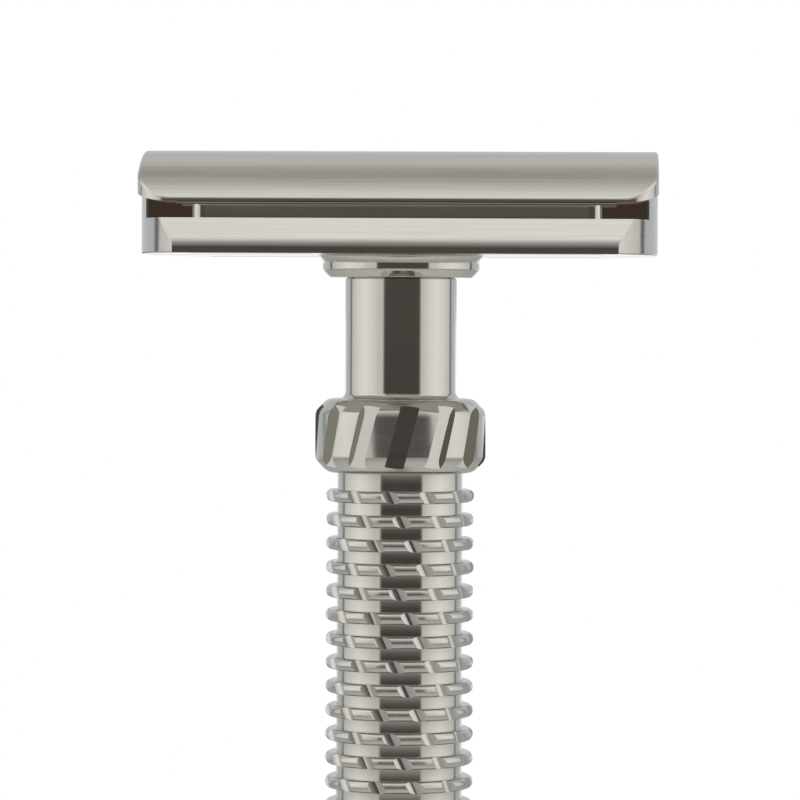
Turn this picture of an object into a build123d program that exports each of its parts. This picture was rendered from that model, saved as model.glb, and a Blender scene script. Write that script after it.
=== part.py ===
from build123d import *
import os
from math import atan, degrees, floor, pi, sin, sqrt

# Double-edge safety razor: a three-piece head screwed on a ringed handle.
# Millimetres.  +Z runs up the handle, the origin is the centre of the foot's flat face, and the
# front of the head looks along -Y.  The head sits on the handle's top, the seat.

# ---- Overall sizes: the head's length and width follow from the blade
handle_length = 85.0        # foot to seat

# ---- Clearances
press_gap = 0.01            # radial, pins and spigots that are pressed in
clamp_gap = 0.03            # between the clamped blade and the faces that bend it
hole_gap = 0.12             # radial, stud and pins that slide through the base plate
thread_gap = 0.05           # radial, between the stud and the neck's thread

# ---- Blade, the standard double-edge size
blade_length = 42.9
blade_width = 22.0          # edge to edge along the bend
blade_thickness = 0.1
blade_bend_r = 33.0         # inside radius of the clamped bend
blade_edge_length = 37.4    # the sharpened length
blade_tab_width = 14.0      # the ends, past the cut corners
blade_slot_length = 35.0
blade_slot_width = 1.6
slot_gap = 0.55             # radial, stud in the middle opening of the slot
blade_exposure = 0.41       # cutting edge beyond the cap's lip

# ---- Base plate
boss_height = 1.93          # seat to the plate's underside
boss_r = 6.83
boss_chamfer = 0.62
boss_chamfer_r = 0.25
boss_root_r = 0.7
plate_edge = 0.95           # underside to the foot of the bevel
guard_rise = 2.06           # height of the bevel
guard_inset = 1.6           # guard crest, in from the front face
guard_reach = 0.09          # guard crest beyond the cutting edge
guard_top = 0.4             # flat width of the crest
guard_edge_r = 1.2          # between bevel and front face
plate_edge_r = 0.12         # mitred corners and bottom edge of the ends
corner_r = 13.0             # arcs in plan at the four corners
end_flat = 7.5              # straight stretch between the arcs of one end
end_gap = 0.05              # blade end to end wall
wall_thickness = 0.78       # end wall at its middle
edge_overhang = 1.15        # cutting edge past the platform's end
platform_inset = 1.0        # platform in from the cap's lip
platform_corner_r = 1.05
core_margin = 0.8           # platform beyond the blade's end tabs, each side
trough_depth = 1.74         # drain trough, below the crest
trough_overrun = 1.5        # trough past each end of the platform
drain_count = 3             # drain slots along each trough
drain_rib = 2.0             # metal between two slots
wall_gap = 0.08             # end walls to the cap's underside

# ---- Cap
cap_overhang = 0.04         # beyond each end of the base plate
lip_gap = 1.42              # guard crest to the cap's lip
lip_height = 0.3
crown_rise = 4.35           # crown above the lip
cap_corner_r = 3.0
cap_edge_r = 0.25
cap_socket = 2.0            # depth of the stud's and pins' holes in the cap

# ---- Stud and pins
stud_r = 2.45               # crest radius of the M5 x 0.8 thread
thread_pitch = 0.8
thread_depth = 0.43
stud_reach = 7.6            # below the seat
stud_tip = 0.5              # chamfer
pin_r = 1.45
pin_spacing = 25.8
pin_reach = 3.2             # below the platform's top
pin_slack = 0.9             # left below a pin in its hole
pin_tip = 0.3

# ---- Neck and collar
neck_r = 4.86
neck_length = 10.55
neck_edge = 0.15
neck_root_r = 0.5
thread_slack = 1.4          # left below the stud in the neck
collar_r = 7.44
collar_length = 6.45
collar_chamfer = 1.1
collar_chamfer_r = 1.0
flute_count = 13
flute_width = 1.6
flute_depth = 0.58
flute_lean = 14.6           # degrees, right-hand
flute_start = 3.8           # degrees, the front flute

# ---- Grip
grip_r = 5.5
grip_bore_r = 3.2
ring_r = 6.46
ring_thickness = 1.1
ring_edge_r = 0.52
ring_pitch = 2.082
ring_inset = 2.01           # collar to the middle of the first ring
notch_count = 12
notch_width = 1.45
notch_depth = 0.34
notch_lead = 81.5           # the notches climb a left-hand helix of this lead
notch_start = -5.0          # degrees, the front notch of the first ring
spigot_length = 8.0         # neck and knob inside the grip
spigot_chamfer = 0.4

# ---- Foot knob
knob_length = 9.9

# ---- Head sizes that follow from the blade
half_chord = (blade_bend_r + blade_thickness) * sin(blade_width / (2 * blade_bend_r + blade_thickness))
wall_x = blade_length / 2 + end_gap
crest_y = half_chord + guard_reach
trough_y = crest_y - guard_top
plate_length = 2 * (wall_x + wall_thickness)
plate_width = 2 * (crest_y + guard_inset)
cap_length = plate_length + 2 * cap_overhang
cap_width = 2 * (half_chord - blade_exposure)
platform_length = blade_edge_length - 2 * edge_overhang
platform_width = cap_width - 2 * platform_inset
core_width = blade_tab_width + 2 * core_margin

# ---- Derived heights, from the foot
seat_z = handle_length
underside_z = seat_z + boss_height
front_top_z = underside_z + plate_edge
crest_z = front_top_z + guard_rise
lip_z = crest_z + lip_gap
lip_top_z = lip_z + lip_height
crown_z = lip_top_z + crown_rise
collar_top_z = seat_z - neck_length
grip_top_z = collar_top_z - collar_length
grip_bottom_z = knob_length

# ---- The bend: the blade and the faces that clamp it share one axis along X
clamp_r = blade_bend_r + blade_thickness + clamp_gap
bend_z = lip_z - sqrt(clamp_r ** 2 - (cap_width / 2) ** 2)
platform_r = blade_bend_r - clamp_gap
platform_top_z = bend_z + platform_r

flute_floor_r = collar_r - flute_depth
overcut = 5.0               # how far a cutting body reaches past what it cuts


def upright(radius, bottom, top):
    """Cylinder about Z between two heights."""
    return Pos(0, 0, (bottom + top) / 2) * Cylinder(radius, top - bottom)


def block(length, width, bottom, top):
    """Box centred on Z between two heights."""
    return Pos(0, 0, (bottom + top) / 2) * Box(length, width, top - bottom)


def lying(radius, length):
    """Cylinder along X about the axis of the bend."""
    return Pos(0, 0, bend_z) * Rot(0, 90, 0) * Cylinder(radius, length)


def turned(points, rounds=()):
    """Solid of revolution of an outline in (radius, height), with some corners rounded."""
    outline = make_face(Polyline(*points, close=True))
    for corner, radius in rounds:
        vertex = outline.vertices().sort_by_distance(Vector(*corner))[0]
        outline = fillet(vertex, radius)
    return revolve(Plane.XZ * outline, Axis.Z)


def both_sides(shape):
    """The shape and its mirror image front to back."""
    return shape + mirror(shape, Plane.XZ)


# ---------------------------------------------------------------- base plate

def plate_plan():
    """Outline from above: a rectangle whose ends are drawn in by large arcs."""
    ends = RectangleRounded(plate_length, end_flat + 2 * corner_r, corner_r)
    return ends & Rectangle(plate_length + overcut, plate_width)


def make_guards():
    """Flat plate with a bevelled guard bar along the front and back, and a drain trough."""
    front = plate_width / 2
    outline = make_face(Polyline(
        (-front, underside_z), (front, underside_z), (front, front_top_z), (crest_y, crest_z),
        (-crest_y, crest_z), (-front, front_top_z), close=True))
    bevel_feet = [v for v in outline.vertices() if abs(v.Y - front_top_z) < plate_edge / 2]
    outline = fillet(bevel_feet, guard_edge_r)
    slab = extrude(Plane.YZ * outline, plate_length, both=True)
    slab = slab & extrude(Pos(0, 0, underside_z) * plate_plan(), crest_z - underside_z)
    ends = [edge for edge in slab.edges() if abs(edge.center().X) > wall_x / 2]
    ends = [edge for edge in ends if edge.center().Z < crest_z - plate_edge_r]
    mitres = [edge for edge in ends if abs(edge.center().Y) > trough_y]
    bottom = [edge for edge in ends if edge.center().Z < underside_z + plate_edge_r]
    slab = fillet(mitres + bottom, plate_edge_r)
    trough_length = platform_length + 2 * trough_overrun
    trough_width = trough_y - core_width / 2
    trough = block(trough_length, trough_width, crest_z - trough_depth, crest_z + overcut)
    trough = Pos(0, core_width / 2 + trough_width / 2, 0) * trough
    return slab - both_sides(trough)


def make_platform():
    """Arched bed of the blade, wider where it backs the cutting edges."""
    wide = RectangleRounded(platform_length, platform_width, platform_corner_r)
    wide = extrude(Pos(0, 0, front_top_z) * wide, platform_top_z - front_top_z)
    core = block(2 * wall_x, core_width, front_top_z, platform_top_z)
    core = core & extrude(Pos(0, 0, front_top_z) * plate_plan(), platform_top_z - front_top_z)
    return (wide + core) & lying(platform_r, plate_length)


def make_end_walls():
    """Thin walls at the two ends that keep the blade in place."""
    tall = extrude(Pos(0, 0, front_top_z) * plate_plan(), clamp_r)
    ends = tall & lying(clamp_r - wall_gap, plate_length + overcut)
    return ends - block(2 * wall_x, plate_width + overcut, front_top_z, seat_z + clamp_r)


def make_drains():
    """Slots through the floor of one trough."""
    width = trough_y - platform_width / 2
    pitch = (platform_length + drain_rib) / drain_count
    slot = block(pitch - drain_rib, width, underside_z - overcut, crest_z)
    middle_y = (trough_y + platform_width / 2) / 2
    drains = Part()
    for index in range(drain_count):
        drains += Pos((index - (drain_count - 1) / 2) * pitch, middle_y, 0) * slot
    return drains


def make_boss():
    """Round foot of the base plate, which seats on the handle."""
    flange_r = boss_r + 2 * boss_root_r
    inside_z = underside_z + plate_edge / 2
    outline = [(0, seat_z), (boss_r - boss_chamfer, seat_z), (boss_r, seat_z + boss_chamfer)]
    outline += [(boss_r, underside_z), (flange_r, underside_z), (flange_r, inside_z), (0, inside_z)]
    rounds = [(corner, boss_chamfer_r) for corner in outline[1:3]]
    rounds += [((boss_r, underside_z), boss_root_r)]
    return turned(outline, rounds)


def pin_places():
    """The two pins' places along X, left first."""
    return (-pin_spacing / 2, pin_spacing / 2)


def make_base_plate():
    """Base plate: guards, platform, end walls and boss, with the stud's and pins' holes."""
    plate = make_guards() + make_platform() + make_end_walls() + make_boss()
    plate -= both_sides(make_drains())
    plate -= upright(stud_r + hole_gap, seat_z - overcut, crown_z)
    pin_floor_z = platform_top_z - pin_reach - pin_slack
    for x in pin_places():
        plate -= Pos(x, 0, 0) * upright(pin_r + hole_gap, pin_floor_z, crown_z)
    return plate


# ---------------------------------------------------------------- blade

def make_blade():
    """Bent sheet with cut corners and the slot that clears the stud and pins."""
    sheet = lying(blade_bend_r + blade_thickness, blade_length) - lying(blade_bend_r, plate_length)
    outline = Rectangle(blade_edge_length, 2 * half_chord) + Rectangle(blade_length, blade_tab_width)
    outline -= SlotOverall(blade_slot_length, blade_slot_width)
    outline -= Circle(stud_r + slot_gap)
    for x in pin_places():
        outline -= Pos(x, 0) * Circle(pin_r + 2 * hole_gap)
    return sheet & extrude(Pos(0, 0, seat_z) * outline, crown_z - seat_z)


# ---------------------------------------------------------------- cap

def make_cap():
    """Crowned bar with an arched underside, rounded corners in plan and blind sockets."""
    half = cap_width / 2
    lower = Line((-half, lip_z), (-half, lip_top_z))
    crown = ThreePointArc((-half, lip_top_z), (0, crown_z), (half, lip_top_z))
    upper = Line((half, lip_top_z), (half, lip_z))
    floor_line = Line((half, lip_z), (-half, lip_z))
    outline = Plane.YZ * make_face(Curve() + [lower, crown, upper, floor_line])
    bar = extrude(outline, cap_length / 2, both=True)
    plan = RectangleRounded(cap_length, cap_width, cap_corner_r)
    bar = bar & extrude(Pos(0, 0, lip_z) * plan, crown_z - lip_z)
    rim = [edge for edge in bar.edges() if edge.center().Z > lip_top_z + cap_edge_r]
    rim = [edge for edge in rim if abs(edge.center().X) > cap_length / 2 - cap_corner_r / 2]
    bar = fillet(rim, cap_edge_r)
    bar -= lying(clamp_r, 2 * cap_length)
    socket_top_z = bend_z + clamp_r + cap_socket
    bar -= upright(stud_r + press_gap, lip_z, socket_top_z)
    for x in pin_places():
        bar -= Pos(x, 0, 0) * upright(pin_r + press_gap, lip_z, socket_top_z)
    return bar


def make_stud():
    """Stud fixed in the cap, with thread ridges below the base plate."""
    top_z = bend_z + clamp_r + cap_socket
    bottom_z = seat_z - stud_reach
    root_r = stud_r - thread_depth
    ridge_count = floor((stud_reach - stud_tip) / thread_pitch)
    outline = [(0, top_z), (stud_r, top_z)]
    for index in range(ridge_count):
        crest = seat_z - index * thread_pitch
        outline += [(stud_r, crest), (root_r, crest - thread_pitch / 2)]
    last = seat_z - ridge_count * thread_pitch
    outline += [(stud_r, last), (stud_r - stud_tip, bottom_z), (0, bottom_z)]
    return turned(outline)


def make_pin(x):
    """Locating pin fixed in the cap."""
    top_z = bend_z + clamp_r + cap_socket
    bottom_z = platform_top_z - pin_reach
    outline = [(0, top_z), (pin_r, top_z), (pin_r, bottom_z + pin_tip)]
    outline += [(pin_r - pin_tip, bottom_z), (0, bottom_z)]
    return Pos(x, 0, 0) * turned(outline)


# ---------------------------------------------------------------- handle

def cut_flutes(body, middle_z, length):
    """Slanted flat-bottomed flutes around a collar."""
    cutter = Pos(0, -flute_floor_r - overcut / 2, 0) * Rot(0, flute_lean, 0)
    cutter = cutter * Box(flute_width, overcut, 2 * length)
    for index in range(flute_count):
        angle = flute_start + index * 360 / flute_count
        body -= Pos(0, 0, middle_z) * Rot(0, 0, angle) * cutter
    return body


def collar_outline(start_z, end_z):
    """The four corners of a collar with chamfered ends, from one end to the other."""
    step = collar_chamfer if end_z > start_z else -collar_chamfer
    inner_r = collar_r - collar_chamfer
    return [(inner_r, start_z), (collar_r, start_z + step), (collar_r, end_z - step), (inner_r, end_z)]


def spigot_outline(join_z, end_z):
    """Outline points of a spigot in the grip's bore, from its root to its end."""
    radius = grip_bore_r - press_gap
    step = spigot_chamfer if end_z > join_z else -spigot_chamfer
    return [(radius, join_z), (radius, end_z - step), (radius - spigot_chamfer, end_z), (0, end_z)]


def make_neck():
    """Neck and fluted collar in one piece, bored for the stud, with a spigot below."""
    outline = [(0, seat_z), (neck_r - neck_edge, seat_z), (neck_r, seat_z - neck_edge)]
    outline += [(neck_r, collar_top_z)] + collar_outline(collar_top_z, grip_top_z)
    outline += spigot_outline(grip_top_z, grip_top_z - spigot_length)
    rounds = [((neck_r, collar_top_z), neck_root_r)]
    rounds += [(corner, collar_chamfer_r) for corner in collar_outline(collar_top_z, grip_top_z)]
    body = turned(outline, rounds)
    body = cut_flutes(body, (collar_top_z + grip_top_z) / 2, collar_length)
    return body - upright(stud_r + thread_gap, seat_z - stud_reach - thread_slack, seat_z + overcut)


def make_knob():
    """Fluted foot with a flat end to stand on, and a spigot in the grip."""
    outline = [(0, 0)] + collar_outline(0, grip_bottom_z)
    outline += spigot_outline(grip_bottom_z, grip_bottom_z + spigot_length)
    rounds = [(corner, collar_chamfer_r) for corner in collar_outline(0, grip_bottom_z)]
    return cut_flutes(turned(outline, rounds), knob_length / 2, knob_length)


def make_ring():
    """One round-edged ring about Z = 0 with its slanted notches."""
    inner = (grip_bore_r + grip_r) / 2
    top = ring_thickness / 2
    corners = [(inner, -top), (ring_r, -top), (ring_r, top), (inner, top)]
    ring = turned(corners, [((ring_r, -top), ring_edge_r), ((ring_r, top), ring_edge_r)])
    cutter_r = (notch_width ** 2 / 4 + notch_depth ** 2) / (2 * notch_depth)
    lean = degrees(atan(2 * pi * ring_r / notch_lead))
    cutter = Pos(0, notch_depth - ring_r - cutter_r, 0) * Rot(0, -lean, 0)
    cutter = cutter * Cylinder(cutter_r, overcut)
    for index in range(notch_count):
        ring -= Rot(0, 0, index * 360 / notch_count) * cutter
    return ring


def make_grip():
    """Grip tube with evenly pitched rings, their notches turning from ring to ring."""
    length = grip_top_z - grip_bottom_z
    count = floor((length - 2 * ring_inset) / ring_pitch + 0.05) + 1
    turn = 360 * ring_pitch / notch_lead
    ring = make_ring()
    tube = upright(grip_r, grip_bottom_z, grip_top_z)
    rings = []
    for index in range(count):
        place = Pos(0, 0, grip_top_z - ring_inset - index * ring_pitch)
        rings.append(place * Rot(0, 0, notch_start + index * turn) * ring)
    tube = tube.fuse(*rings)
    return tube - upright(grip_bore_r, grip_bottom_z - overcut, grip_top_z + overcut)


os.makedirs("parts", exist_ok=True)
left_x, right_x = pin_places()
nodes = {
    "top_cap": make_cap(),
    "cap_stud": make_stud(),
    "cap_pin_left": make_pin(left_x),
    "cap_pin_right": make_pin(right_x),
    "razor_blade": make_blade(),
    "base_plate": make_base_plate(),
    "handle_neck": make_neck(),
    "handle_grip": make_grip(),
    "handle_knob": make_knob(),
}
for name, shape in nodes.items():
    export_step(shape, f"parts/{name}.step")
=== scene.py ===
"""Looks of the double-edge safety razor: finishes, thread, stage, light and camera."""
from math import radians

import bpy
import numpy as np
from mathutils import Matrix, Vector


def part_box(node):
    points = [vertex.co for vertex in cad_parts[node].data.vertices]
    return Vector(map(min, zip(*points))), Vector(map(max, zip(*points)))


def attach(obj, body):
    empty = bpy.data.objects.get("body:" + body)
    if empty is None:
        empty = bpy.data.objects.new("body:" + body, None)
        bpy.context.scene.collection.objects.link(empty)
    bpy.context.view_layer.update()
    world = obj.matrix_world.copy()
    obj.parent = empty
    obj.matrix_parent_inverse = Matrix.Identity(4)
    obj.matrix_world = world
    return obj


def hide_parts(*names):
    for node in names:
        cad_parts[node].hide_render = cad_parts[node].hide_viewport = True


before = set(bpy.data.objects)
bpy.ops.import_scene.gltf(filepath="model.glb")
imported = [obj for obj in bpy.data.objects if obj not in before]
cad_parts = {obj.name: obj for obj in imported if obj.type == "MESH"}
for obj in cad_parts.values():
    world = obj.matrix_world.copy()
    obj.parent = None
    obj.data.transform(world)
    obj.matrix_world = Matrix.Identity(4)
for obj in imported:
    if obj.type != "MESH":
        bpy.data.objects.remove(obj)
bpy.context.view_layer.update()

bl_info = {
    "name": "Safety Razor Looks",
    "version": (1, 0, 0),
    "blender": (4, 5, 0),
    "location": "View3D > Sidebar > Razor",
    "description": "Finishes, thread, stage and camera for a double-edge safety razor",
    "category": "Object",
}

MM = 0.001
SEAT_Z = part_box("handle_neck")[1][2]     # top of the handle, where the head sits
GRIP_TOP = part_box("handle_grip")[1][2]
STUD_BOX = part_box("cap_stud")
COLLAR_LAND = 7.2 * MM                  # radius beyond which a collar is land, not flute
RING_LAND = 6.35 * MM                   # radius beyond which the grip is ring, not core
RING_INSET = 2.01 * MM                  # top of the grip to the middle of its first ring
RING_PITCH = 2.082 * MM
CORE_EDGE = 5.55 * MM                   # just outside the grip's core
HOLLOW_RISE = 0.026 * MM                # height of the hollow's parabola half a pitch away
RECESS_FLOOR = SEAT_Z + 3.1 * MM        # just below the drain troughs
RECESS_EDGE = 10.5 * MM                 # half width of the space between the guards
RECESS_END = 21.4 * MM                  # half length of that space
CORE_FACE = 8.0 * MM                    # just outside the metal under the blade's ends
STRIP_START = 16.4 * MM                 # the platform's rounded corner starts here
PLATFORM_END = 17.6 * MM                # and ends here
BLEND = 0.1 * MM                        # width over which one finish fades into the next
RECESS_BROWN = (0.68, 0.60, 0.53)
# painted shade: colour that darkens the deep recess past the platform's ends
RECESS_PAINTED_SHADE = (0.42, 0.31, 0.26)
RECESS_DULLING = 0.12                   # added roughness on the platform's face
CAP_GRAIN = (60, 5000, 5000)            # strokes per metre along X, Y and Z
PLATE_GRAIN = (80, 4000, 4000)
BLADE_GRAIN = (100, 3000, 3000)
BRUSH_RELIEF = 4e-6                     # metres, strokes of the brushed steel
TURNED_RELIEF = 8e-7                    # metres, tool marks of the turned steel
BLADE_COLOUR = (0.60, 0.60, 0.61)
BLADE_ROUGHNESS = 0.12
FIXING_SHADE = 0.92                     # stud and pins are a little darker than the rest
FIXING_ROUGHNESS = (0.22, 0.30)
TURN_STEPS = 72                         # points of the thread in one turn
PITCH_STEPS = 16                        # rows of the thread in one pitch


# ---------------------------------------------------------------- settings

class RazorFinish(bpy.types.PropertyGroup):
    """Colours and roughness of the steel."""
    steel_colour: bpy.props.FloatVectorProperty(
        name="Steel", description="Colour of the bare steel", subtype="COLOR",
        size=3, default=(0.66, 0.645, 0.60), min=0, max=1)
    cap_roughness: bpy.props.FloatProperty(
        name="Cap roughness", description="Satin finish of the cap", default=0.18, min=0, max=1)
    plate_roughness: bpy.props.FloatProperty(
        name="Plate roughness", description="Machined finish of the base plate", default=0.09,
        min=0, max=1)
    turned_roughness: bpy.props.FloatProperty(
        name="Handle roughness", description="Polished cores of the handle", default=0.11,
        min=0, max=1)
    land_roughness: bpy.props.FloatProperty(
        name="Land roughness", description="Lands of the collars and rings", default=0.19,
        min=0, max=1)


class RazorThread(bpy.types.PropertyGroup):
    """Thread on the cap's stud."""
    pitch: bpy.props.FloatProperty(
        name="Pitch", description="Rise of the thread in one turn", subtype="DISTANCE",
        unit="LENGTH", default=0.8 * MM, min=0.1 * MM)
    depth: bpy.props.FloatProperty(
        name="Depth", description="Crest to root", subtype="DISTANCE", unit="LENGTH",
        default=0.43 * MM, min=0)
    length: bpy.props.FloatProperty(
        name="Length", description="Threaded length above the stud's tip", subtype="DISTANCE",
        unit="LENGTH", default=14.0 * MM, min=0)
    tip: bpy.props.FloatProperty(
        name="Tip", description="Chamfer of the stud's end", subtype="DISTANCE", unit="LENGTH",
        default=0.5 * MM, min=0)


class RazorStage(bpy.types.PropertyGroup):
    """Camera and surroundings."""
    camera_distance: bpy.props.FloatProperty(
        name="Camera distance", description="Camera to the handle's axis", subtype="DISTANCE",
        unit="LENGTH", default=0.370, min=0.05)
    camera_azimuth: bpy.props.FloatProperty(
        name="Camera azimuth", description="Turn of the camera towards +X", subtype="ANGLE",
        default=radians(2.6))
    camera_drop: bpy.props.FloatProperty(
        name="Camera drop", description="Camera below the handle's top", subtype="DISTANCE",
        unit="LENGTH", default=0.00345)
    camera_pitch: bpy.props.FloatProperty(
        name="Camera pitch", description="Downward tilt of the camera", subtype="ANGLE",
        default=radians(1.12))
    camera_roll: bpy.props.FloatProperty(
        name="Camera roll", description="Turn of the camera about its own axis", subtype="ANGLE",
        default=radians(0.28))
    camera_shift: bpy.props.FloatProperty(
        name="Camera shift", description="Sideways shift in image widths", default=-0.0007)
    lens: bpy.props.FloatProperty(
        name="Lens", description="Focal length in millimetres for a 36 mm sensor",
        default=190.6, min=1)
    floor_size: bpy.props.FloatProperty(
        name="Floor size", description="Width of the floor", subtype="DISTANCE", unit="LENGTH",
        default=8.0, min=0.1)


# ---------------------------------------------------------------- shader helper

class Value:
    """A number in a node tree, whose arithmetic adds Math nodes."""

    def __init__(self, tree, socket):
        self.tree = tree
        self.socket = socket

    def _math(self, operation, first, second=None):
        values = {0: first} if second is None else {0: first, 1: second}
        return self.tree.add("ShaderNodeMath", {"operation": operation}, values)

    def __add__(self, other):
        return self._math("ADD", self, other)

    __radd__ = __add__

    def __sub__(self, other):
        return self._math("SUBTRACT", self, other)

    def __rsub__(self, other):
        return self._math("SUBTRACT", other, self)

    def __mul__(self, other):
        return self._math("MULTIPLY", self, other)

    def __truediv__(self, other):
        return self._math("DIVIDE", self, other)

    def __pow__(self, other):
        return self._math("POWER", self, other)

    def __abs__(self):
        return self._math("ABSOLUTE", self)

    def fraction(self):
        return self._math("FRACT", self)

    def angle_from(self, other):
        """Angle of the point (other, self) in degrees."""
        return self._math("ARCTAN2", self, other) * (180 / np.pi)

    def step(self, start, end):
        """0 at start, 1 at end, smooth between."""
        settings = {"interpolation_type": "SMOOTHSTEP"}
        values = {"Value": self, "From Min": start, "From Max": end}
        return self.tree.add("ShaderNodeMapRange", settings, values)


class Tree:
    """A node tree that is built from calls."""

    def __init__(self, node_tree):
        self.nodes = node_tree.nodes
        self.links = node_tree.links
        self.nodes.clear()

    def add(self, kind, settings=None, values=None, output=0):
        """New node; settings first, then the values or links of its sockets."""
        node = self.nodes.new(kind)
        for name, setting in (settings or {}).items():
            setattr(node, name, setting)
        for name, value in (values or {}).items():
            if isinstance(value, Value):
                self.links.new(value.socket, node.inputs[name])
            else:
                node.inputs[name].default_value = value
        return Value(self, node.outputs[output]) if node.outputs else None

    def split(self, vector):
        """The three components of a vector."""
        first = self.add("ShaderNodeSeparateXYZ", values={"Vector": vector})
        outputs = first.socket.node.outputs
        return [Value(self, outputs[name]) for name in ("X", "Y", "Z")]

    def join(self, x, y, z):
        """A vector from its components."""
        return self.add("ShaderNodeCombineXYZ", values={"X": x, "Y": y, "Z": z})

    def mix(self, factor, first, second):
        """Colour mix of two colours."""
        settings = {"data_type": "RGBA"}
        return self.add("ShaderNodeMix", settings, {0: factor, 6: first, 7: second}, output=2)

    def ramp(self, value, stops):
        """Colour that runs through stops, a {value: colour} table in rising order."""
        low, high = min(stops), max(stops)
        result = self.add("ShaderNodeValToRGB", values={"Fac": (value - low) / (high - low)})
        elements = result.socket.node.color_ramp.elements
        elements.remove(elements[1])
        for index, (stop, colour) in enumerate(stops.items()):
            position = (stop - low) / (high - low)
            element = elements.new(position) if index else elements[0]
            element.position = position
            element.color = colour
        return result

    def noise(self, vector, scale, detail=2.0, roughness=0.5):
        """Noise from 0 to 1."""
        values = {"Vector": vector, "Scale": scale, "Detail": detail, "Roughness": roughness}
        return self.add("ShaderNodeTexNoise", values=values)


def new_material(name):
    """Empty node material and its tree."""
    material = bpy.data.materials.new(name)
    material.use_nodes = True
    return material, Tree(material.node_tree)


def rgba(colour, level=1.0):
    """Colour times a level, with alpha."""
    return (*[channel * level for channel in colour], 1.0)


def steel_surface(tree, colour, roughness, height, bump_distance, bump_strength=1.0):
    """Principled metal from a colour, a roughness and a bump height."""
    bump = tree.add("ShaderNodeBump", values={
        "Height": height, "Distance": bump_distance, "Strength": bump_strength})
    shader = tree.add("ShaderNodeBsdfPrincipled", values={
        "Base Color": colour, "Metallic": 1.0, "Roughness": roughness, "Normal": bump})
    tree.add("ShaderNodeOutputMaterial", values={"Surface": shader})


# ---------------------------------------------------------------- materials

def brushed_material(name, colour, roughness, grain, recess=False):
    """Satin steel with fine parallel strokes; grain is how far each stroke is drawn out per axis.

    With recess, the steel is browner and duller between the guards, and darkest past the
    platform's ends, where the darkness is painted shade of the deep recess, not a colour of the
    steel.
    """
    material, tree = new_material(name)
    place = tree.add("ShaderNodeTexCoord", output="Object")
    drawn = tree.add("ShaderNodeMapping", {"vector_type": "POINT"},
                     {"Vector": place, "Scale": grain})
    strokes = tree.noise(drawn, 1.0, 3.0, 0.6)
    clouds = tree.noise(place, 90.0, 2.0)
    tint = tree.mix(strokes.step(0.3, 0.7), rgba(colour, 0.94), rgba(colour, 1.03))
    rough = roughness + (strokes - 0.5) * 0.08 + (clouds - 0.5) * 0.04
    if recess:
        x, y, z = tree.split(place)
        inside = z.step(RECESS_FLOOR - BLEND, RECESS_FLOOR)
        inside = inside * (1 - abs(y).step(RECESS_EDGE - BLEND, RECESS_EDGE))
        face = inside * (1 - abs(x).step(STRIP_START - BLEND, STRIP_START))
        # painted shade: mask of the deep recess past the platform's ends, which gets the dark
        # colour
        painted_shade_mask = inside * (1 - abs(y).step(CORE_FACE, CORE_FACE + BLEND))
        painted_shade_mask = painted_shade_mask * abs(x).step(PLATFORM_END - BLEND, PLATFORM_END)
        painted_shade_mask = painted_shade_mask * (1 - abs(x).step(RECESS_END - BLEND, RECESS_END))
        tint = tree.mix(face, tint, rgba(RECESS_BROWN))
        tint = tree.mix(painted_shade_mask, tint, rgba(RECESS_PAINTED_SHADE))
        rough = rough + face * RECESS_DULLING
    steel_surface(tree, tint, rough, strokes, BRUSH_RELIEF, 0.4)
    return material


def turned_material(name, colour, core, land, land_radius, hollow=False):
    """Turned steel: marks that run round the Z axis; polished core, rougher beyond land_radius.

    With hollow, the core between two rings is slightly concave, as the tool leaves it.
    """
    material, tree = new_material(name)
    x, y, z = tree.split(tree.add("ShaderNodeTexCoord", output="Object"))
    radius = (x * x + y * y) ** 0.5
    line = tree.join(x * 20.0, y * 20.0, (z + radius) * 9000.0)
    marks = tree.noise(line, 1.0, 3.0, 0.6)
    broad = tree.noise(tree.join(x * 30.0, y * 30.0, (z + radius) * 1400.0), 1.0, 2.0)
    tint = tree.mix(marks.step(0.3, 0.7), rgba(colour, 0.97), rgba(colour, 1.02))
    outer = radius.step(land_radius - BLEND, land_radius)
    rough = outer * (land - core) + core + (marks - 0.5) * 0.06 + (broad - 0.5) * 0.06
    relief = (marks + broad * 0.5) * TURNED_RELIEF
    if hollow:
        across = ((GRIP_TOP - RING_INSET - z) / RING_PITCH).fraction() * 2 - 1
        inner = 1 - radius.step(CORE_EDGE, CORE_EDGE + BLEND)
        relief = relief + across ** 2 * inner * HOLLOW_RISE
    steel_surface(tree, tint, rough, relief, 1.0)
    return material


def set_material(name, material):
    """Give a CAD node a material in its one slot."""
    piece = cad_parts[name]
    piece.data.materials.clear()
    piece.data.materials.append(material)


# ---------------------------------------------------------------- numpy surfaces

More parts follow.
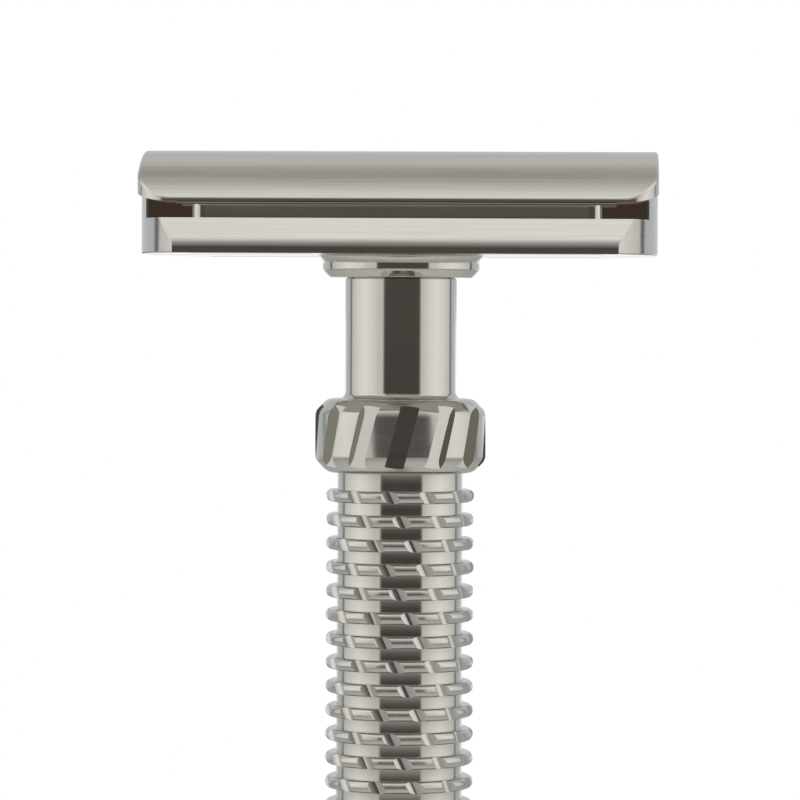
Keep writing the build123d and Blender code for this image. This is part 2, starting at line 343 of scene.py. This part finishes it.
def thread_object(name, thread):
    """Threaded stud as a closed surface round Z.

    With h the height above the stud's tip, a the angle round Z and p the pitch, the radius is
        r(a, h) = min(R - d * k * v(h / p - a / 2 pi), R - c + h)
    where R is the crest radius, d the depth, c the tip's chamfer, k fades the thread out over
    two pitches at its upper end, and v(u) = clip(1.4 * (1 - |2 frac(u) - 1|) - 0.2, 0, 1) is a
    ridge with flat crests and roots.  The ends are closed by fans.
    """
    low, high = (np.array(corner) for corner in STUD_BOX)
    crest = (high[0] - low[0]) / 2
    length = high[2] - low[2]
    angle = np.arange(TURN_STEPS) * 2 * np.pi / TURN_STEPS
    rise = np.arange(0, thread.length, thread.pitch / PITCH_STEPS)
    rise = np.append(rise, [thread.length, length])
    phase = rise[:, None] / thread.pitch - angle[None, :] / (2 * np.pi)
    groove = np.clip(1.4 * (1 - np.abs(2 * (phase % 1) - 1)) - 0.2, 0, 1)
    fade = np.clip((thread.length - rise) / (2 * thread.pitch), 0, 1)[:, None]
    radius = np.minimum(crest - thread.depth * fade * groove, crest - thread.tip + rise[:, None])
    rows = np.stack([
        radius * np.cos(angle), radius * np.sin(angle),
        low[2] + np.repeat(rise[:, None], TURN_STEPS, axis=1)], axis=-1)
    points = [*rows.reshape(-1, 3), (0, 0, low[2]), (0, 0, high[2])]
    count = len(rise)
    faces = []
    for row in range(count - 1):
        for column in range(TURN_STEPS):
            right = (column + 1) % TURN_STEPS
            here, above = row * TURN_STEPS, (row + 1) * TURN_STEPS
            faces.append((here + column, here + right, above + right, above + column))
    bottom, top = count * TURN_STEPS, count * TURN_STEPS + 1
    last = (count - 1) * TURN_STEPS
    for column in range(TURN_STEPS):
        right = (column + 1) % TURN_STEPS
        faces.append((bottom, right, column))
        faces.append((top, last + column, last + right))
    mesh = bpy.data.meshes.new(name)
    mesh.from_pydata([tuple(map(float, point)) for point in points], [], faces)
    mesh.shade_smooth()
    mesh.set_sharp_from_angle(angle=radians(40))
    stud = bpy.data.objects.new(name, mesh)
    bpy.context.scene.collection.objects.link(stud)
    return stud


# ---------------------------------------------------------------- operators: the razor

class RAZOR_OT_finish_head(bpy.types.Operator):
    """Satin cap, machined base plate and polished blade"""
    bl_idname = "razor.finish_head"
    bl_label = "Finish the head"

    def execute(self, context):
        finish = context.scene.razor_finish
        steel = tuple(finish.steel_colour)
        cap = brushed_material("cap_satin_steel", steel, finish.cap_roughness, CAP_GRAIN)
        plate = brushed_material("plate_machined_steel", steel, finish.plate_roughness,
                                 PLATE_GRAIN, recess=True)
        blade = brushed_material("blade_polished_steel", BLADE_COLOUR, BLADE_ROUGHNESS, BLADE_GRAIN)
        set_material("top_cap", cap)
        set_material("base_plate", plate)
        set_material("razor_blade", blade)
        return {"FINISHED"}


class RAZOR_OT_finish_handle(bpy.types.Operator):
    """Bright turned steel on the neck, grip and knob"""
    bl_idname = "razor.finish_handle"
    bl_label = "Finish the handle"

    def execute(self, context):
        finish = context.scene.razor_finish
        steel = tuple(finish.steel_colour)
        core, land = finish.turned_roughness, finish.land_roughness
        collar = turned_material("collar_turned_steel", steel, core, land, COLLAR_LAND)
        rings = turned_material("ring_turned_steel", steel, core, land, RING_LAND, hollow=True)
        set_material("handle_neck", collar)
        set_material("handle_knob", collar)
        set_material("handle_grip", rings)
        return {"FINISHED"}


class RAZOR_OT_finish_fixings(bpy.types.Operator):
    """Machined steel on the stud and the locating pins"""
    bl_idname = "razor.finish_fixings"
    bl_label = "Finish the stud and pins"

    def execute(self, context):
        steel = tuple(
            channel * FIXING_SHADE for channel in context.scene.razor_finish.steel_colour)
        machined = turned_material(
            "fixing_machined_steel", steel, *FIXING_ROUGHNESS, COLLAR_LAND)
        for name in ("cap_pin_left", "cap_pin_right"):
            set_material(name, machined)
        stud = thread_object("stud_thread", context.scene.razor_thread)
        stud.data.materials.append(machined)
        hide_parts("cap_stud")
        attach(stud, "cap")
        return {"FINISHED"}


# ---------------------------------------------------------------- the stage

WHITE = (1.0, 1.0, 1.0)
WARM = (1.0, 0.995, 0.95)
COOL = (0.94, 1.0, 1.04)
TENT_TURN = 2.3                 # degrees that the tent's middle is turned towards +X
OPENING_TURN = 5                # the same for its opening
OPENING_SIDE = (36.5, 40.5)     # degrees from the opening's middle where it fades out
OPENING_TOP = (70, 82)          # heights in degrees where it fades out
OPENING_FOOT = (-20, -10)       # and where it fades in
SIDE_START = (0.25, 0.6)        # sideways part of a direction where roof fades into side
TABLE_EDGE = (-2, -14)          # heights where the table fades in
TABLE_DEPTH = (-10, -60)        # heights between the table's far and near shade
TABLE_FAR = (0.42, 0.42, 0.41)
TABLE_NEAR = (0.60, 0.60, 0.58)
FLOOR_FADE = (0.10, 0.30)       # metres from the razor where the floor turns white
SIDE_LEVELS = {                 # degrees from the camera's side, at the horizon
    0: rgba(WARM, 0.74),
    46: rgba(WARM, 0.74),
    62: rgba(WHITE, 0.92),
    80: rgba(WHITE, 1.04),
    100: rgba(WHITE, 0.90),
    116: rgba(WARM, 0.74),
    121: rgba(WARM, 0.69),
    123: rgba(WARM, 0.20),
    127.5: rgba(COOL, 0.20),
    130: rgba(COOL, 0.60),
    180: rgba(COOL, 0.64),
}
ROOF_LEVELS = {                 # degrees of lean from the front horizon, over the roof
    0: rgba(WHITE, 1.03),
    88: rgba(WHITE, 1.03),
    95: rgba((1.0, 1.0, 0.98), 0.90),
    101: rgba(WARM, 0.73),
    106: rgba(WARM, 0.58),
    111: rgba(WARM, 0.48),
    117: rgba(WARM, 0.39),
    125: rgba(WARM, 0.47),
    132: rgba(WARM, 0.63),
    140: rgba((1.0, 1.0, 0.98), 0.66),
    152: rgba((0.97, 1.0, 1.01), 0.57),
    165: rgba(COOL, 0.65),
    180: rgba(COOL, 0.65),
}
OPENING_LEVELS = {              # degrees above the horizon, in the front opening
    -10: rgba((0.41, 0.41, 0.40)),
    -8.5: rgba((0.40, 0.395, 0.38)),
    -7.5: rgba((0.31, 0.305, 0.29)),
    -6.5: rgba((0.20, 0.195, 0.185)),
    -5.5: rgba((0.13, 0.125, 0.117)),
    -4.5: rgba((0.10, 0.096, 0.088)),
    -3.5: rgba((0.070, 0.066, 0.060)),
    -2.5: rgba((0.045, 0.042, 0.038)),
    -1.0: rgba((0.078, 0.070, 0.062)),
    0: rgba((0.085, 0.078, 0.070)),
    5: rgba((0.12, 0.112, 0.104)),
    12: rgba((0.20, 0.195, 0.185)),
    23: rgba((0.33, 0.325, 0.315)),
    35: rgba((0.39, 0.385, 0.37)),
    47: rgba((0.57, 0.565, 0.55)),
    59: rgba((0.74, 0.74, 0.72)),
    73: rgba((0.93, 0.93, 0.92)),
    82: rgba((1.03, 1.03, 1.03)),
}


def tent_world(world):
    """Light tent by direction: dark opening at the front, white sides, shaded roof, grey back."""
    world.use_nodes = True
    tree = Tree(world.node_tree)
    x, y, z = tree.split(tree.add("ShaderNodeTexCoord", output="Generated"))
    front = y * -1.0
    azimuth = x.angle_from(front)
    height = z.angle_from((x * x + y * y) ** 0.5)
    sides = tree.ramp(abs(azimuth - TENT_TURN), SIDE_LEVELS)
    roof = tree.ramp(z.angle_from(front), ROOF_LEVELS)
    colour = tree.mix(abs(x).step(*SIDE_START), roof, sides)
    table = tree.mix(height.step(*TABLE_DEPTH), rgba(TABLE_FAR), rgba(TABLE_NEAR))
    colour = tree.mix(height.step(*TABLE_EDGE), colour, table)
    opening = 1 - abs(azimuth - OPENING_TURN).step(*OPENING_SIDE)
    opening = opening * (1 - height.step(*OPENING_TOP)) * height.step(*OPENING_FOOT)
    colour = tree.mix(opening, colour, tree.ramp(height, OPENING_LEVELS))
    camera_ray = tree.add("ShaderNodeLightPath", output="Is Camera Ray")
    colour = tree.mix(camera_ray, colour, rgba(WHITE))
    surface = tree.add("ShaderNodeBackground", values={"Color": colour, "Strength": 1.0})
    tree.add("ShaderNodeOutputWorld", values={"Surface": surface})


def floor_material():
    """Pale floor that keeps the shadow near the razor and is white further away."""
    material, tree = new_material("pale_floor")
    x, y, _ = tree.split(tree.add("ShaderNodeTexCoord", output="Object"))
    away = ((x * x + y * y) ** 0.5).step(*FLOOR_FADE)
    diffuse = tree.add("ShaderNodeBsdfDiffuse", values={"Color": rgba((0.9, 0.9, 0.9))})
    white = tree.add("ShaderNodeEmission", values={"Color": rgba(WHITE), "Strength": 1.0})
    surface = tree.add("ShaderNodeMixShader", values={0: away, 1: diffuse, 2: white})
    tree.add("ShaderNodeOutputMaterial", values={"Surface": surface})
    return material


class RAZOR_OT_stage(bpy.types.Operator):
    """White light tent, pale floor and the camera"""
    bl_idname = "razor.stage"
    bl_label = "Set the stage"

    def execute(self, context):
        stage = context.scene.razor_stage
        scene = context.scene
        scene.world = bpy.data.worlds.new("light_tent")
        tent_world(scene.world)
        half = stage.floor_size / 2
        mesh = bpy.data.meshes.new("floor")
        corners = [(-half, -half, 0), (half, -half, 0), (half, half, 0), (-half, half, 0)]
        mesh.from_pydata(corners, [], [(0, 1, 2, 3)])
        mesh.materials.append(floor_material())
        floor_object = bpy.data.objects.new("floor", mesh)
        floor_object.visible_glossy = False
        scene.collection.objects.link(floor_object)
        self.add_camera(scene, stage)
        scene.view_settings.view_transform = "Standard"
        return {"FINISHED"}

    def add_camera(self, scene, stage):
        """Camera that looks at the head from the front."""
        data = bpy.data.cameras.new("camera")
        data.lens = stage.lens
        data.shift_x = stage.camera_shift
        data.clip_start = 0.01
        camera = bpy.data.objects.new("camera", data)
        turn = Matrix.Rotation(stage.camera_azimuth, 4, "Z")
        tilt = Matrix.Rotation(radians(90) - stage.camera_pitch, 4, "X")
        roll = Matrix.Rotation(stage.camera_roll, 4, "Z")
        height = SEAT_Z - stage.camera_drop
        place = Matrix.Translation((0, -stage.camera_distance, 0))
        camera.matrix_world = Matrix.Translation((0, 0, height)) @ turn @ place @ tilt @ roll
        scene.collection.objects.link(camera)
        scene.camera = camera


class RAZOR_PT_panel(bpy.types.Panel):
    """Razor settings and steps"""
    bl_idname = "RAZOR_PT_panel"
    bl_label = "Razor"
    bl_space_type = "VIEW_3D"
    bl_region_type = "UI"
    bl_category = "Razor"

    def draw(self, context):
        scene = context.scene
        for group in (scene.razor_finish, scene.razor_thread, scene.razor_stage):
            for name in group.__annotations__:
                self.layout.prop(group, name)
        for operator in OPERATORS:
            self.layout.operator(operator.bl_idname)


OPERATORS = (
    RAZOR_OT_finish_head,
    RAZOR_OT_finish_handle,
    RAZOR_OT_finish_fixings,
    RAZOR_OT_stage,
)
CLASSES = (RazorFinish, RazorThread, RazorStage, *OPERATORS, RAZOR_PT_panel)


def register():
    for item in CLASSES:
        bpy.utils.register_class(item)
    bpy.types.Scene.razor_finish = bpy.props.PointerProperty(type=RazorFinish)
    bpy.types.Scene.razor_thread = bpy.props.PointerProperty(type=RazorThread)
    bpy.types.Scene.razor_stage = bpy.props.PointerProperty(type=RazorStage)


def unregister():
    del bpy.types.Scene.razor_stage
    del bpy.types.Scene.razor_thread
    del bpy.types.Scene.razor_finish
    for item in reversed(CLASSES):
        bpy.utils.unregister_class(item)


def main():
    register()
    bpy.ops.razor.finish_head()
    bpy.ops.razor.finish_handle()
    bpy.ops.razor.finish_fixings()
    bpy.ops.razor.stage()


if __name__ == "__main__":
    main()
